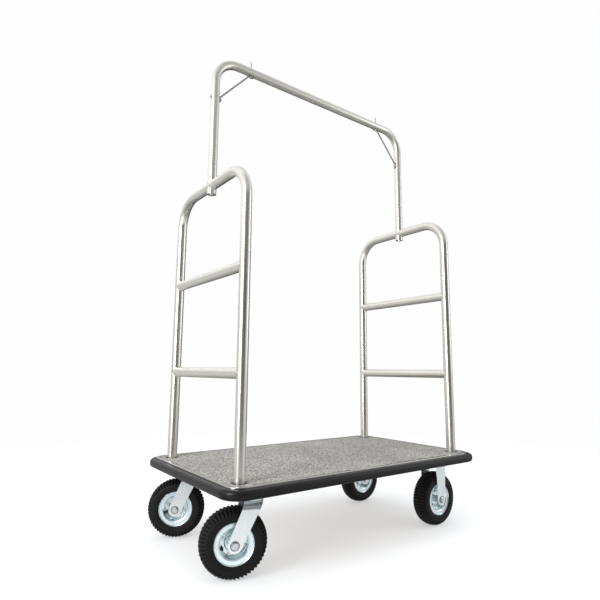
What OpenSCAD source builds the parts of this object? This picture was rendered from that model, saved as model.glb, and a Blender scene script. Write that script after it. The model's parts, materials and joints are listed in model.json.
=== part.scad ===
// Hotel luggage cart: carpeted deck with a wrap-round rubber bumper, two tube
// hoops with cross bars, an arched garment rail, two swivel and two rigid
// casters with pneumatic tyres.
// X runs along the cart, Y across it, Z up. The origin is on the floor under
// the middle of the deck. Millimetres.

/* [Deck] */
// Length over the bumper
deck_len = 1230; // [1170:1:1480]
// Width over the bumper
deck_wid = 720; // [695:1:870]
// Height of the carpet above the floor
deck_h = 304; // [300:1:370]
// Outer corner radius of the bumper
corner_r = 72; // [55:1:88]
// How far the bumper stands out from the deck edge
bumper_t = 24; // [18:1:30]
// Height of the bumper
bumper_h = 32; // [26:1:36]
// Radius of the bumper's rounded nose
bumper_r = 13; // [6:0.5:13]
// Step from the carpet top down to the bumper top
bumper_drop = 5; // [3:0.5:7]
// Thickness of the carpet
carpet_t = 4; // [3:0.5:6]
// Thickness of the deck board
board_t = 18; // [12:1:24]
// Width of the metal edge strip seen from above
trim_w = 12; // [8:1:18]
// Sheet thickness of the edge strip
trim_t = 1.5; // [1:0.1:2]
// Width of the open joint between carpet and edge strip
carpet_gap = 1; // [0.5:0.1:3]
// Radius of the round cut-outs in the carpet for the uprights
carpet_hole_r = 25; // [22:0.5:30]

/* [Underframe] */
// Height of the frame members under the board
frame_h = 20; // [16:1:26]
// Width of the long side rails
side_rail_w = 34; // [24:1:38]
// Wall of the frame members
frame_wall = 2.5; // [2:0.1:4]
// Length of the side rails
side_rail_len = 1080; // [940:1:1090]
// Width of a cross member over a caster pair
cross_w = 104; // [100:1:106]
// Width of the middle cross member
mid_cross_w = 60; // [40:1:90]

/* [Uprights] */
// Outer diameter of the hoops and cross bars
tube_d = 38; // [32:0.5:42]
// Wall of every bent tube
tube_wall = 1.5; // [1.2:0.1:2.5]
// Distance between the two hoops
hoop_spacing = 1070; // [1060:1:1200]
// Distance between the two uprights of a hoop
post_spacing = 547; // [530:1:600]
// Height of the hoop's top tube, to its centre
hoop_h = 1360; // [1200:1:1640]
// Bend radius of the hoops, to the tube centre
hoop_r = 115; // [70:1:140]
// Height of the lower cross bars, to the centre
low_bar_h = 642; // [500:1:770]
// Height of the upper cross bars, to the centre
up_bar_h = 999; // [860:1:1100]
// Clearance where a bar or leg is notched to fit round a tube
notch_gap = 0.1; // [0.05:0.05:0.5]
// Clearance round an upright in the deck board
board_gap = 0.5; // [0.3:0.1:2]
// Length of the threaded plugs in the tube ends
plug_len = 36; // [24:1:50]

/* [Garment rail] */
// Outer diameter of the garment rail, no more than the hoops' tube
rail_d = 36; // [28:0.5:38]
// Height of the garment rail, to its centre
rail_h = 1905; // [1760:1:2200]
// Bend radius of the rail, to the tube centre
rail_r = 100; // [70:1:130]
// Length of the stub below a hoop, from the hoop's centre
stub_len = 33; // [27:1:45]
// Diameter of the corner braces
brace_d = 7; // [5:0.5:10]
// Drop of a brace's lower end below the rail centre
brace_drop = 176; // [140:1:200]
// Distance of a brace's upper end from the leg centre
brace_reach = 162; // [135:1:190]
// Thickness of a brace's end tabs
tab_t = 3; // [2:0.5:4]
// Length of a brace's end tabs
tab_len = 26; // [20:1:34]
// Height of the hanger stop pins above the rail
stop_pin_h = 28; // [15:1:40]
// Diameter of the hanger stop pins and the brace bolts
pin_d = 6; // [5:0.5:8]

/* [Casters] */
// Distance between the caster pairs, along the cart
caster_span_x = 916; // [900:1:930]
// Distance between the casters of a pair, across the cart
caster_span_y = 464; // [440:1:490]
// Diameter of the tyre
wheel_d = 220; // [185:1:224]
// Width of the tyre
tyre_w = 72; // [60:1:74]
// Fullness of the tyre's section: 2 is an ellipse, more is squarer
tyre_square = 2.4; // [2:0.1:3]
// Distance of the axle behind the swivel axis
trail = 62; // [40:1:66]
// Rest angle of the left front swivel
front_yaw = -21; // [-180:0.1:180]
// Rest angle of the left back swivel
back_yaw = -31; // [-180:0.1:180]
// Clear width between the legs of a fork
fork_gap = 80; // [76:0.5:88]
// Sheet thickness of the forks
fork_t = 3.5; // [3:0.5:5]
// Width of a fork leg at the axle
fork_w = 46; // [36:1:50]
// Width of a fork leg at the crown
crown_w = 60; // [52:1:66]
// Outside radius of the bend between crown and leg
fork_bend = 28; // [16:1:32]
// Height of the fork crown's top above the floor
crown_h = 242; // [240:0.5:244]
// Length of a caster's mounting plate, along the cart
plate_l = 100; // [94:1:100]
// Width of a caster's mounting plate
plate_w = 88; // [80:1:110]
// Thickness of a caster's mounting plate
plate_t = 4; // [3:0.5:5]
// Bolt spacing of the plate, along the cart
bolt_x = 80; // [72:1:82]
// Bolt spacing of the plate, across the cart
bolt_y = 66; // [56:1:68]
// Shank diameter of the plate bolts
plate_bolt_d = 8; // [6:1:10]
// Diameter of the axle and of the king pin
axle_d = 12; // [10:0.5:14]
// Running clearance of axle and king pin, on the radius
run_gap = 0.05; // [0.02:0.01:0.09]
// Outer radius of the swivel race
race_r = 34; // [30:0.5:38]
// Radius of the bearing balls
ball_r = 3.2; // [2.5:0.1:3.4]
// Number of balls in a swivel race
ball_n = 14; // [8:1:18]

/* [Wheels] */
// Outer radius of the rim flange
rim_r = 66; // [60:0.5:70]
// Radius of the seat that the tyre sits on
seat_r = 49; // [44:0.5:52]
// Half width between the rim flanges
rim_half = 25; // [20:0.5:27]
// Sheet thickness of the rim halves
rim_t = 2; // [1.5:0.1:3]
// Outer radius of the wheel hub
hub_r = 15; // [12:0.5:18]
// Radius of the rim bolt circle
rim_bolt_circle = 36; // [32:0.5:38]
// Number of rim bolts
rim_bolt_n = 4; // [3:1:6]
// Diameter of the valve stem
valve_d = 7; // [5:0.5:8]

/* [Hidden] */
$fn = 64;

tube_r = tube_d / 2;
bore_r = tube_r - tube_wall;
notch_r = tube_r + notch_gap;
board_top = deck_h - carpet_t;
board_low = board_top - board_t;
frame_low = board_low - frame_h;
edge_x = deck_len / 2 - bumper_t;
edge_y = deck_wid / 2 - bumper_t;
edge_r = corner_r - bumper_t;
bumper_top = deck_h - bumper_drop;
trim_top = deck_h - 0.5;
post_y = post_spacing / 2;
hoop_x = hoop_spacing / 2;
rail_rad = rail_d / 2;
rail_bore = rail_rad - tube_wall;
rail_top = rail_h + rail_rad;
rail_under = rail_h - rail_rad;
brace_x = hoop_x - brace_reach;
brace_low = rail_h - brace_drop;
caster_x = caster_span_x / 2;
caster_y = caster_span_y / 2;
wheel_r = wheel_d / 2;
plate_low = frame_low - plate_t;
half_gap = fork_gap / 2;
fork_out = half_gap + fork_t;
hub_half = half_gap - 0.4;
axle_r = axle_d / 2;
axle_hole_r = axle_r + 0.3;
crown_low = crown_h - fork_t;
race_mid = race_r - 4;
race_h = 1.2;
ball_z = crown_h + race_h + ball_r + 0.2;
upper_race_low = ball_z + ball_r + 0.2;
pin_r = pin_d / 2;
pin_hole_r = pin_r + 0.2;
nut_h = 5;
plate_bolt_r = plate_bolt_d / 2;
cap_t = 2;
stub_bolt_r = 4;
post_bolt_r = 5;
washer_t = 3;
washer_r = tube_r + 3;
tyre_mid = (wheel_r + seat_r + 1) / 2;
tyre_half_h = (wheel_r - seat_r - 1) / 2;

// Shared shapes

// Rectangle of half sizes a and b with round corners
module rrect(a, b, r) {
    square([2 * a, 2 * (b - r)], center = true);
    square([2 * (a - r), 2 * b], center = true);
    for (sx = [-1, 1], sy = [-1, 1])
        translate([sx * (a - r), sy * (b - r)]) circle(r);
}

// Sweeps a profile, drawn outward from x = 0, round a rounded rectangle
module edge_sweep(a, b, r) {
    for (k = [0, 1]) rotate([0, 0, 180 * k]) {
        translate([a - r, b - r, 0])
            rotate_extrude(angle = 90) translate([r, 0]) children();
        rotate([0, 0, 90]) translate([b - r, a - r, 0])
            rotate_extrude(angle = 90) translate([r, 0]) children();
        translate([a, b - r, 0]) rotate([90, 0, 0])
            linear_extrude(2 * (b - r)) children();
        translate([a - r, -b, 0]) rotate([90, 0, -90])
            linear_extrude(2 * (a - r)) children();
    }
}

module tube(len, rad = tube_r) {
    difference() {
        cylinder(r = rad, h = len);
        translate([0, 0, -1]) cylinder(r = rad - tube_wall, h = len + 2);
    }
}

module tube_bend(r, rad = tube_r) {
    rotate_extrude(angle = 90) translate([r, 0]) difference() {
        circle(rad);
        circle(rad - tube_wall);
    }
}

module hex(af, h) {
    cylinder(d = af / cos(30), h = h, $fn = 6);
}

// Bolt along +Z: its head is below z = 0
module bolt(r, len, af, head) {
    translate([0, 0, -head]) hex(af, head);
    cylinder(r = r, h = len);
}

module nut(r, af, h) {
    difference() {
        hex(af, h);
        translate([0, 0, -1]) cylinder(r = r + 0.05, h = h + 2);
    }
}

// Deck

module at_posts() {
    for (sx = [-1, 1], sy = [-1, 1])
        translate([sx * hoop_x, sy * post_y, 0]) children();
}

module deck_board() {
    color("tan") difference() {
        translate([0, 0, board_low]) linear_extrude(board_t)
            rrect(edge_x - trim_t, edge_y - trim_t, edge_r - trim_t);
        at_posts() translate([0, 0, board_low - 1])
            cylinder(r = tube_r + board_gap, h = board_t + 2);
    }
}

module deck_carpet() {
    inset = trim_w + carpet_gap;
    color([0.68, 0.66, 0.63]) difference() {
        translate([0, 0, board_top]) linear_extrude(carpet_t)
            rrect(edge_x - inset, edge_y - inset, edge_r - inset);
        at_posts() translate([0, 0, board_top - 1])
            cylinder(r = carpet_hole_r, h = carpet_t + 2);
    }
}

// Angle strip: a flange over the board and a skirt down its edge
module edge_trim() {
    color("silver") edge_sweep(edge_x - trim_w, edge_y - trim_w, edge_r - trim_w)
        union() {
            translate([0, board_top]) square([trim_w - 2, trim_top - board_top]);
            translate([trim_w - trim_t, bumper_top - bumper_h])
                square([trim_t, trim_top - 2 - bumper_top + bumper_h]);
            translate([trim_w - 2, board_top])
                square([2, trim_top - 2 - board_top]);
            translate([trim_w - 2, trim_top - 2]) intersection() {
                circle(2);
                square(2);
            }
        }
}

module bumper_profile() {
    difference() {
        intersection() {
            square([bumper_t, bumper_h]);
            union() {
                square([bumper_t - bumper_r, bumper_h]);
                translate([0, bumper_r])
                    square([bumper_t, bumper_h - 2 * bumper_r]);
                for (z = [bumper_r, bumper_h - bumper_r])
                    translate([bumper_t - bumper_r, z]) circle(bumper_r);
            }
        }
        translate([3, bumper_h - 1.5]) square([1.6, 3]);
    }
}

module edge_bumper() {
    color([0.13, 0.13, 0.14]) edge_sweep(edge_x, edge_y, edge_r)
        translate([0, bumper_top - bumper_h]) bumper_profile();
}

// Underframe

module side_rails() {
    y = edge_y - trim_t - 2.5 - side_rail_w / 2;
    color("dimgray") for (s = [-1, 1]) difference() {
        translate([-side_rail_len / 2, s * y, frame_low + frame_h / 2])
            rotate([90, 0, 90]) linear_extrude(side_rail_len) difference() {
                square([side_rail_w, frame_h], center = true);
                square([side_rail_w - 2 * frame_wall,
                    frame_h - 2 * frame_wall], center = true);
            }
        post_room();
    }
}

// Room for the washers under the uprights, where they reach a frame member
module post_room() {
    at_posts() translate([0, 0, board_low - washer_t - 1])
        cylinder(r = washer_r + board_gap, h = washer_t + 2);
}

// Open channel, base down
module channel(w) {
    half = edge_y - trim_t - 2.5 - side_rail_w;
    translate([0, half, frame_low]) rotate([90, 0, 0])
        linear_extrude(2 * half) difference() {
            translate([-w / 2, 0]) square([w, frame_h]);
            translate([-w / 2 + frame_wall, frame_wall])
                square([w - 2 * frame_wall, frame_h]);
        }
}

module at_plate_bolts() {
    for (sx = [-1, 1], sy = [-1, 1], bx = [-1, 1], by = [-1, 1])
        translate([sx * caster_x + bx * bolt_x / 2,
            sy * caster_y + by * bolt_y / 2, 0]) children();
}

module cross_members() {
    color("dimgray") {
        channel(mid_cross_w);
        for (s = [-1, 1]) difference() {
            translate([s * caster_x, 0, 0]) channel(cross_w);
            at_plate_bolts() translate([0, 0, frame_low - 1])
                cylinder(r = plate_bolt_r + 0.4, h = frame_wall + 2, $fn = 32);
            post_room();
        }
    }
}

module post_washers() {
    color("silver") at_posts() translate([0, 0, board_low - washer_t])
        difference() {
            cylinder(r = washer_r, h = washer_t);
            translate([0, 0, -1])
                cylinder(r = post_bolt_r + 0.4, h = washer_t + 2);
        }
}

module post_bolts() {
    color("silver") at_posts() translate([0, 0, board_low - washer_t])
        bolt(post_bolt_r, washer_t + plug_len - 6, 17, 6.5);
}

module plug(bore, r) {
    difference() {
        cylinder(r = bore - 0.05, h = plug_len);
        translate([0, 0, -1]) cylinder(r = r + 0.05, h = plug_len + 2);
    }
}

module tube_plugs() {
    color("gray") {
        at_posts() translate([0, 0, board_low]) plug(bore_r, post_bolt_r);
        for (s = [-1, 1]) translate([s * hoop_x, 0, hoop_h + notch_r + 3])
            plug(rail_bore, stub_bolt_r);
    }
}

// Hoops and cross bars

module hoop() {
    rise = hoop_h - hoop_r - board_low;
    color("gainsboro") difference() {
        union() {
            for (s = [0, 1]) mirror([0, s, 0]) {
                translate([0, post_y, board_low]) tube(rise);
                translate([0, post_y - hoop_r, hoop_h - hoop_r])
                    rotate([90, 0, 90]) tube_bend(hoop_r);
            }
            translate([0, hoop_r - post_y, hoop_h]) rotate([-90, 0, 0])
                tube(post_spacing - 2 * hoop_r);
        }
        translate([0, 0, hoop_h - tube_r - 2])
            cylinder(r = stub_bolt_r + 0.3, h = tube_d + 4, $fn = 32);
    }
}

module cross_bar(z) {
    color("gainsboro") difference() {
        translate([0, -post_y, z]) rotate([-90, 0, 0]) tube(post_spacing);
        for (s = [-1, 1]) translate([0, s * post_y, z - tube_d])
            cylinder(r = notch_r, h = 2 * tube_d);
    }
}

module left_hoop() { translate([-hoop_x, 0, 0]) hoop(); }
module right_hoop() { translate([hoop_x, 0, 0]) hoop(); }
module left_lower_bar() { translate([-hoop_x, 0, 0]) cross_bar(low_bar_h); }
module left_upper_bar() { translate([-hoop_x, 0, 0]) cross_bar(up_bar_h); }
module right_lower_bar() { translate([hoop_x, 0, 0]) cross_bar(low_bar_h); }
module right_upper_bar() { translate([hoop_x, 0, 0]) cross_bar(up_bar_h); }

// Garment rail

module hoop_notch() {
    translate([0, -tube_d, hoop_h]) rotate([-90, 0, 0])
        cylinder(r = notch_r, h = 2 * tube_d);
}

module garment_rail() {
    color("gainsboro") difference() {
        union() {
            for (s = [0, 1]) mirror([s, 0, 0]) {
                translate([hoop_x, 0, hoop_h])
                    tube(rail_h - rail_r - hoop_h, rail_rad);
                translate([hoop_x - rail_r, 0, rail_h - rail_r])
                    rotate([90, 0, 0]) tube_bend(rail_r, rail_rad);
            }
            translate([rail_r - hoop_x, 0, rail_h]) rotate([0, 90, 0])
                tube(hoop_spacing - 2 * rail_r, rail_rad);
        }
        for (s = [-1, 1]) {
            translate([s * hoop_x, 0, 0]) hoop_notch();
            translate([s * brace_x, 0, rail_under - 2])
                cylinder(r = pin_hole_r, h = rail_d + 4, $fn = 32);
            translate([s * hoop_x - rail_rad - 2, 0, brace_low])
                rotate([0, 90, 0])
                    cylinder(r = pin_hole_r, h = rail_d + 4, $fn = 32);
        }
    }
}

module rail_stubs() {
    color("gainsboro") for (s = [-1, 1]) difference() {
        translate([s * hoop_x, 0, hoop_h - stub_len]) tube(stub_len, rail_rad);
        translate([s * hoop_x, 0, 0]) hoop_notch();
    }
}

module stub_caps() {
    color("silver") for (s = [-1, 1])
        translate([s * hoop_x, 0, hoop_h - stub_len - cap_t]) difference() {
            union() {
                cylinder(r = rail_rad, h = cap_t);
                cylinder(r = rail_bore - 0.05, h = cap_t + 6);
            }
            translate([0, 0, -1])
                cylinder(r = stub_bolt_r + 0.3, h = cap_t + 8, $fn = 32);
        }
}

module stub_bolts() {
    reach = stub_len + cap_t + notch_r + 3 + plug_len - 6;
    color("silver") for (s = [-1, 1])
        translate([s * hoop_x, 0, hoop_h - stub_len - cap_t])
            bolt(stub_bolt_r, reach, 13, 4);
}

// Right-hand brace: a round rod between a tab on the leg and one on the rail
module brace() {
    x0 = hoop_x - rail_rad - tab_t;
    z0 = brace_low + tab_len / 2;
    x1 = brace_x + tab_len / 2;
    z1 = rail_under - tab_t;
    dx = x0 - x1;
    dz = z1 - z0;
    span = sqrt(dx * dx + dz * dz);
    color("silver") difference() {
        union() {
            translate([x0, -brace_d, brace_low - tab_len / 2])
                cube([tab_t, 2 * brace_d, tab_len]);
            translate([brace_x - tab_len / 2, -brace_d, z1])
                cube([tab_len, 2 * brace_d, tab_t]);
            translate([x0 + 1, 0, z0 - 4]) rotate([0, -atan2(dx, dz), 0])
                cylinder(d = brace_d, h = span + 4, $fn = 32);
        }
        translate([x0 + tab_t, -50, brace_low - 60]) cube([50, 100, 150]);
        translate([brace_x - 40, -50, z1 + tab_t]) cube([150, 100, 50]);
        translate([x0 - 2, 0, brace_low]) rotate([0, 90, 0])
            cylinder(r = pin_hole_r, h = tab_t + 4, $fn = 32);
        translate([brace_x, 0, z1 - 2])
            cylinder(r = pin_hole_r, h = tab_t + 4, $fn = 32);
    }
}

module left_brace() { mirror([1, 0, 0]) brace(); }
module right_brace() { brace(); }

module brace_bolts() {
    color("silver") for (s = [0, 1]) mirror([s, 0, 0])
        translate([hoop_x + rail_rad, 0, brace_low]) rotate([0, -90, 0])
            bolt(pin_r, rail_d + tab_t + nut_h + 2, 10, 4);
}

module brace_nuts() {
    color("silver") for (s = [0, 1]) mirror([s, 0, 0]) {
        translate([hoop_x - rail_rad - tab_t, 0, brace_low])
            rotate([0, -90, 0]) nut(pin_r, 10, nut_h);
        translate([brace_x, 0, rail_under - tab_t - nut_h])
            nut(pin_r, 10, nut_h);
    }
}

// Pin through the rail and the brace's tab, with a collar on the rail
module stop_pins() {
    low = rail_under - tab_t - nut_h - 2;
    color("silver") for (s = [-1, 1]) translate([s * brace_x, 0, 0]) {
        translate([0, 0, low]) cylinder(r = pin_r, h = rail_top - low + stop_pin_h);
        translate([0, 0, rail_top]) cylinder(r = pin_r + 2, h = 2);
    }
}

// Casters. Local frame: swivel axis on Z, wheel behind it along -X

module at_front() { translate([-caster_x, -caster_y, 0]) rotate(front_yaw) children(); }
module at_back() { translate([-caster_x, caster_y, 0]) rotate(back_yaw) children(); }
module at_right(s) { translate([caster_x, s * caster_y, 0]) children(); }

module caster_bolts() {
    color("silver") at_plate_bolts() translate([0, 0, plate_low])
        bolt(plate_bolt_r, plate_t + frame_wall + 8, 13, 5);
}

module caster_nuts() {
    color("silver") at_plate_bolts()
        translate([0, 0, frame_low + frame_wall]) nut(plate_bolt_r, 13, 6);
}

module mount_plate() {
    difference() {
        translate([0, 0, plate_low]) linear_extrude(plate_t)
            rrect(plate_l / 2, plate_w / 2, 8);
        for (bx = [-1, 1], by = [-1, 1])
            translate([bx * bolt_x / 2, by * bolt_y / 2, plate_low - 1])
                cylinder(r = plate_bolt_r + 0.4, h = plate_t + 2, $fn = 32);
    }
}

// Plate with the upper race pressed down from it, and a seat for the pin's head
module swivel_plates() {
    color([0.8, 0.84, 0.87]) for (sy = [-1, 1])
        translate([-caster_x, sy * caster_y, 0]) difference() {
            union() {
                mount_plate();
                translate([0, 0, upper_race_low])
                    cylinder(r = race_r, h = frame_low - upper_race_low - 1);
            }
            translate([0, 0, upper_race_low - 1])
                cylinder(r = axle_hole_r, h = frame_low - upper_race_low + 2);
            translate([0, 0, frame_low - 6]) cylinder(r = 11, h = 20);
        }
}

module bearing_balls() {
    color("silver") for (sy = [-1, 1]) translate([-caster_x, sy * caster_y, ball_z])
        for (i = [0 : ball_n - 1]) rotate(i * 360 / ball_n)
            translate([race_mid, 0, 0]) sphere(ball_r, $fn = 24);
}

module king_pins() {
    top = frame_low - 6;
    low = crown_low - 12;
    color("silver") for (sy = [-1, 1]) translate([-caster_x, sy * caster_y, 0]) {
        translate([0, 0, top]) cylinder(r = 10, h = 5);
        translate([0, 0, low]) cylinder(r = axle_r, h = top - low);
    }
}

module king_pin_nuts() {
    color("silver") for (sy = [-1, 1])
        translate([-caster_x, sy * caster_y, crown_low - 9.5])
            nut(axle_r, 19, 9);
}

// Outline of a fork leg: a tapered bar from the top edge down to the axle
module leg_outline(back, top, half_top) {
    len = sqrt(back * back + pow(top - wheel_r, 2));
    nx = (top - wheel_r) / len * fork_w / 2;
    nz = back / len * fork_w / 2;
    polygon([[-half_top, top], [half_top, top],
        [nx - back, wheel_r - nz], [-nx - back, wheel_r + nz]]);
    translate([-back, wheel_r]) circle(fork_w / 2);
}

// Section across a fork: two legs joined over round shoulders
module arch(top, r) {
    module solid_arch(half, high, rad) {
        translate([-half, 0]) square([2 * half, high - rad]);
        translate([-half + rad, 0]) square([2 * (half - rad), high]);
        for (s = [-1, 1]) translate([s * (half - rad), high - rad]) circle(rad);
    }
    difference() {
        solid_arch(fork_out, top, r);
        translate([0, -1]) solid_arch(half_gap, top - fork_t + 1, r - fork_t);
    }
}

module fork_body(back, top, half_top, r) {
    difference() {
        intersection() {
            translate([-200, 0, 0]) rotate([90, 0, 90]) linear_extrude(400)
                arch(top, r);
            translate([0, 100, 0]) rotate([90, 0, 0]) linear_extrude(200)
                leg_outline(back, top, half_top);
        }
        translate([-back, -100, wheel_r]) rotate([-90, 0, 0])
            cylinder(r = axle_hole_r, h = 200);
    }
}

module swivel_fork() {
    color([0.8, 0.84, 0.87]) difference() {
        union() {
            fork_body(trail, crown_h, crown_w / 2, fork_bend);
            translate([0, 0, crown_low]) cylinder(r = race_r, h = fork_t + race_h);
        }
        translate([0, 0, crown_low - 1])
            cylinder(r = axle_r + run_gap, h = fork_t + race_h + 2);
    }
}

module rigid_fork() {
    color([0.8, 0.84, 0.87]) {
        mount_plate();
        fork_body(0, plate_low, crown_w / 2, fork_bend / 2);
    }
}

// Flanged hex bolt across the fork, head at -Y
module axle() {
    translate([0, -fork_out, wheel_r]) rotate([-90, 0, 0]) {
        translate([0, 0, -1.5]) cylinder(r = 12, h = 1.5);
        translate([0, 0, -8]) hex(19, 7);
        cylinder(r = axle_r, h = 2 * fork_out + 12);
    }
}

module axle_nut() {
    translate([0, fork_out, wheel_r]) rotate([-90, 0, 0]) nut(axle_r, 19, 10);
}

module left_front_fork() { at_front() swivel_fork(); }
module left_back_fork() { at_back() swivel_fork(); }
module right_front_fork() { at_right(-1) rigid_fork(); }
module right_back_fork() { at_right(1) rigid_fork(); }

module left_front_axle() {
    color("silver") at_front() translate([-trail, 0, 0]) axle();
}
module left_back_axle() {
    color("silver") at_back() translate([-trail, 0, 0]) axle();
}
module left_front_axle_nut() {
    color("silver") at_front() translate([-trail, 0, 0]) axle_nut();
}
module left_back_axle_nut() {
    color("silver") at_back() translate([-trail, 0, 0]) axle_nut();
}
module rigid_axles() {
    color("silver") for (s = [-1, 1]) at_right(s) axle();
}
module rigid_axle_nuts() {
    color("silver") for (s = [-1, 1]) at_right(s) axle_nut();
}

// Wheels. Local frame: wheel centre at the origin, axle on Z, outer face at -Z

module tyre() {
    steps = 40;
    function full(c) = sign(c) * pow(abs(c), 2 / tyre_square);
    color([0.08, 0.08, 0.08]) rotate_extrude() difference() {
        polygon([for (i = [0 : steps - 1]) let (a = 360 * i / steps)
            [tyre_mid + tyre_half_h * full(cos(a)), tyre_w / 2 * full(sin(a))]]);
        for (s = [0, 1]) mirror([0, s]) translate([0, rim_half - 0.4])
            square([rim_r + 1, tyre_w]);
        translate([0, -tyre_w]) square([seat_r + 0.1, 2 * tyre_w]);
    }
}

// One stamped half: hub boss, flat web, tyre seat and curled flange
module rim_half_profile() {
    t = rim_t;
    b = rim_bolt_circle;
    polygon([[hub_r + 0.05, 5], [b - 11, 5], [b - 7, 0.05], [seat_r, 0.05],
        [seat_r, rim_half - 1], [seat_r + 2, rim_half], [rim_r - 3, rim_half],
        [rim_r, rim_half + 2], [rim_r, rim_half + 4.5],
        [rim_r - 2, rim_half + 5.5], [rim_r - 4, rim_half + 4],
        [rim_r - 5, rim_half + t], [seat_r + 1, rim_half + t],
        [seat_r - t - 1, rim_half], [seat_r - t - 1, 5],
        [seat_r - t - 3, t], [b - 6, t], [b - 10, 5 + t],
        [hub_r + 0.05, 5 + t]]);
}

module at_rim_bolts() {
    for (i = [0 : rim_bolt_n - 1]) rotate(i * 360 / rim_bolt_n + 20)
        translate([rim_bolt_circle, 0, 0]) children();
}

module at_valve() {
    rotate(155) translate([seat_r - rim_t - 4 - valve_d / 2, 0, 0]) children();
}

module rim() {
    color([0.78, 0.83, 0.87]) for (s = [0, 1]) mirror([0, 0, s]) difference() {
        rotate_extrude() rim_half_profile();
        at_rim_bolts() translate([0, 0, -1])
            cylinder(r = 3.2, h = rim_t + 2, $fn = 32);
        at_valve() translate([0, 0, -1])
            cylinder(r = valve_d / 2 + 0.1, h = rim_t + 2, $fn = 32);
    }
}

module hub() {
    color("silver") difference() {
        translate([0, 0, -hub_half]) cylinder(r = hub_r, h = 2 * hub_half);
        translate([0, 0, -hub_half - 1])
            cylinder(r = axle_r + run_gap, h = 2 * hub_half + 2);
    }
}

module rim_bolts() {
    color("silver") at_rim_bolts() {
        translate([0, 0, -rim_t]) bolt(3, 2 * rim_t + 6, 10, 4);
        translate([0, 0, rim_t]) nut(3, 10, 5);
    }
}

// Rubber stem through the web, with a wider foot and a cap
module valve() {
    color([0.1, 0.1, 0.1]) at_valve() translate([0, 0, -20]) {
        cylinder(r = valve_d / 2, h = 20 + rim_t);
        translate([0, 0, 20 - rim_t - 2.5])
            cylinder(r = valve_d / 2 + 1.5, h = 2.4);
    }
}

module at_wheel(back) {
    translate([-back, 0, wheel_r]) rotate([-90, 0, 0]) children();
}

module left_front_tyre() { at_front() at_wheel(trail) tyre(); }
module left_front_rim() { at_front() at_wheel(trail) rim(); }
module left_front_hub() { at_front() at_wheel(trail) hub(); }
module left_front_rim_bolts() { at_front() at_wheel(trail) rim_bolts(); }
module left_front_valve() { at_front() at_wheel(trail) valve(); }
module left_back_tyre() { at_back() at_wheel(trail) tyre(); }
module left_back_rim() { at_back() at_wheel(trail) rim(); }
module left_back_hub() { at_back() at_wheel(trail) hub(); }
module left_back_rim_bolts() { at_back() at_wheel(trail) rim_bolts(); }
module left_back_valve() { at_back() at_wheel(trail) valve(); }
module right_front_tyre() { at_right(-1) at_wheel(0) tyre(); }
module right_front_rim() { at_right(-1) at_wheel(0) rim(); }
module right_front_hub() { at_right(-1) at_wheel(0) hub(); }
module right_front_rim_bolts() { at_right(-1) at_wheel(0) rim_bolts(); }
module right_front_valve() { at_right(-1) at_wheel(0) valve(); }
module right_back_tyre() { at_right(1) at_wheel(0) tyre(); }
module right_back_rim() { at_right(1) at_wheel(0) rim(); }
module right_back_hub() { at_right(1) at_wheel(0) hub(); }
module right_back_rim_bolts() { at_right(1) at_wheel(0) rim_bolts(); }
module right_back_valve() { at_right(1) at_wheel(0) valve(); }

deck_board();
deck_carpet();
edge_trim();
edge_bumper();
side_rails();
cross_members();
post_washers();
post_bolts();
tube_plugs();
left_hoop();
right_hoop();
left_lower_bar();
left_upper_bar();
right_lower_bar();
right_upper_bar();
garment_rail();
rail_stubs();
stub_caps();
stub_bolts();
left_brace();
right_brace();
brace_bolts();
brace_nuts();
stop_pins();
caster_bolts();
caster_nuts();
swivel_plates();
bearing_balls();
king_pins();
king_pin_nuts();
right_front_fork();
right_back_fork();
rigid_axles();
rigid_axle_nuts();
left_front_fork();
left_front_axle();
left_front_axle_nut();
left_back_fork();
left_back_axle();
left_back_axle_nut();
left_front_tyre();
left_front_rim();
left_front_hub();
left_front_rim_bolts();
left_front_valve();
left_back_tyre();
left_back_rim();
left_back_hub();
left_back_rim_bolts();
left_back_valve();
right_front_tyre();
right_front_rim();
right_front_hub();
right_front_rim_bolts();
right_front_valve();
right_back_tyre();
right_back_rim();
right_back_hub();
right_back_rim_bolts();
right_back_valve();
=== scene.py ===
import json
import math
import bmesh
import bpy
import numpy as np
from mathutils import Matrix, Vector


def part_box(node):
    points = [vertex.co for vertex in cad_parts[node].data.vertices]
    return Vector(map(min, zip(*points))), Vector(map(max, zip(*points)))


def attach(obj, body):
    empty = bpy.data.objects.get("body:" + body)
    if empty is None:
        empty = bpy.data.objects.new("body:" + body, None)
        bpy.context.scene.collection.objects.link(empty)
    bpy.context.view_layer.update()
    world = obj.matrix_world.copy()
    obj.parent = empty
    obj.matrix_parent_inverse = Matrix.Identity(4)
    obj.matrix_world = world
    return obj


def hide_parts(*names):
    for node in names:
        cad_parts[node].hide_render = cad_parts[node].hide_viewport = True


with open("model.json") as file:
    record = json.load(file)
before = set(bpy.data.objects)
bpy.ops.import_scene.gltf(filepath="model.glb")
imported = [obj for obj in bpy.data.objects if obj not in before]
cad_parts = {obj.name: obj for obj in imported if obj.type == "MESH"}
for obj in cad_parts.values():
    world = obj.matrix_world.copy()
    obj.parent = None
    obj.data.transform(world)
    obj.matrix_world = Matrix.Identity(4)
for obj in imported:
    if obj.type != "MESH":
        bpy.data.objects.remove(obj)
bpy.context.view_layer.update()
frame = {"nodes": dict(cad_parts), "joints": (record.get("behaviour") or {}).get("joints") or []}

joints = {j["name"]: j for j in frame["joints"]}
scene = bpy.context.scene
wheels = ("left_front", "left_back", "right_front", "right_back")

# Camera: stands left of the cart's near corner, a little over knee height, and looks slightly up
cameraSet = {
    "place": (-1.31727, -1.63983, 0.65273),
    "yaw": 36.519,  # degrees from +Y towards +X
    "pitch": 8.349,
    "roll": 0.497,
    "lens": 28.755,
    "sees": 200,  # metres
}


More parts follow.
